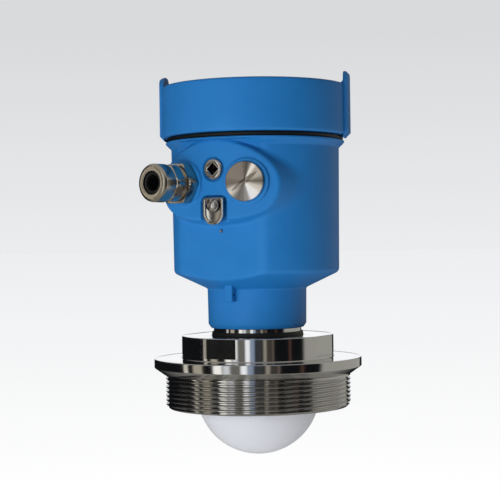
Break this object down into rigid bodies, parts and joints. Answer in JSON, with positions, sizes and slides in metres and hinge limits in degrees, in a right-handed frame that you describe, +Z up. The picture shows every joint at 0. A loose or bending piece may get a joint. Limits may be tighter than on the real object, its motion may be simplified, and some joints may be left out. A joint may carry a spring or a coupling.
{
  "type": "radar level transmitter",
  "caption": "Radar level transmitter: blue cast housing with screw cap, cable gland, blind plug and earth clamp on a turning neck, over a steel screwed fitting with a white domed lens.",
  "frame": {"origin": "on the main axis, in the seat plane where the lower collar meets the process thread", "axes": "+Z up the main axis to the cap, -Y the front with the cable entries, +X to the right seen from the front"},
  "size_m": [0.1126, 0.1256, 0.2063],
  "materials": {
    "blue_paint": "satin powder coat on cast aluminium",
    "polished_steel": "mirror-turned stainless steel",
    "nickel_plate": "nickel-plated brass",
    "turned_plug": "face-turned nickel-plated brass",
    "fastener_steel": "stainless steel",
    "spring_steel": "blackened spring steel",
    "machined_brass": "machined brass",
    "seal_rubber": "matte black rubber",
    "ptfe": "smooth white fluoropolymer",
    "dark_plastic": "moulded plastic",
    "green_plastic": "moulded plastic"
  },
  "bodies": {
    "fitting": {"process_fitting": "polished_steel", "lens": "ptfe", "lens_seal": "seal_rubber", "feed_horn": "machined_brass", "microwave_module": "dark_plastic", "coax_plug": "machined_brass", "neck_sleeve": "polished_steel", "neck_gasket": "seal_rubber", "journal_oring": "seal_rubber", "sleeve_retainer": "spring_steel"},
    "housing": {"housing": "blue_paint", "neck_lock_screw": "fastener_steel", "seal_pin": "fastener_steel", "electronics_module": "dark_plastic", "module_screws": "fastener_steel", "terminal_block": "green_plastic", "terminal_screws": "fastener_steel", "inner_earth_plate": "fastener_steel", "inner_earth_screw": "fastener_steel", "vent_element": "fastener_steel", "blind_plug": "turned_plug", "plug_seal": "seal_rubber", "gland_washer": "seal_rubber", "gland_body": "nickel_plate", "gland_seal": "seal_rubber"},
    "cap_seal": {"cap_seal": "seal_rubber"},
    "cap": {"cap": "blue_paint"},
    "gland_thrust_ring": {"gland_thrust_ring": "dark_plastic"},
    "gland_nut": {"gland_nut": "nickel_plate"},
    "earth_clamp": {"earth_clamp": "fastener_steel", "earth_spring_washer": "fastener_steel"},
    "earth_screw": {"earth_screw": "fastener_steel"}
  },
  "joints": [
    {"name": "housing_swivel", "type": "hinge", "parent": "fitting", "child": "housing", "pos_m": [0, 0, 0.035], "axis": [0, 0, 1], "range_deg": [-165, 165]},
    {"name": "cap_rise", "type": "slide", "parent": "housing", "child": "cap_seal", "axis": [0, 0, 1], "range_m": [0, 0.015]},
    {"name": "cap_turn", "type": "hinge", "parent": "cap_seal", "child": "cap", "pos_m": [0, 0, 0.14], "axis": [0, 0, 1], "range_deg": [0, 1800]},
    {"name": "gland_nut_travel", "type": "slide", "parent": "housing", "child": "gland_thrust_ring", "axis": [-0.1958, -0.9806, 0], "range_m": [0, 0.0075]},
    {"name": "gland_nut_turn", "type": "hinge", "parent": "gland_thrust_ring", "child": "gland_nut", "pos_m": [-0.02101, -0.05552, 0.102], "axis": [-0.1958, -0.9806, 0], "range_deg": [0, 1800]},
    {"name": "earth_clamp_travel", "type": "slide", "parent": "housing", "child": "earth_clamp", "axis": [0, -1, 0], "range_m": [0, 0.0021]},
    {"name": "earth_screw_turn", "type": "hinge", "parent": "earth_clamp", "child": "earth_screw", "pos_m": [0, -0.046, 0.09033], "axis": [0, -1, 0], "range_deg": [0, 1080]}
  ],
  "couplings": [
    {"joint": "cap_rise", "follows": "cap_turn", "m_per_rad": 0.00047746},
    {"joint": "gland_nut_travel", "follows": "gland_nut_turn", "m_per_rad": 0.00023873},
    {"joint": "earth_screw_turn", "follows": "earth_clamp_travel", "rad_per_m": 8976}
  ]
}
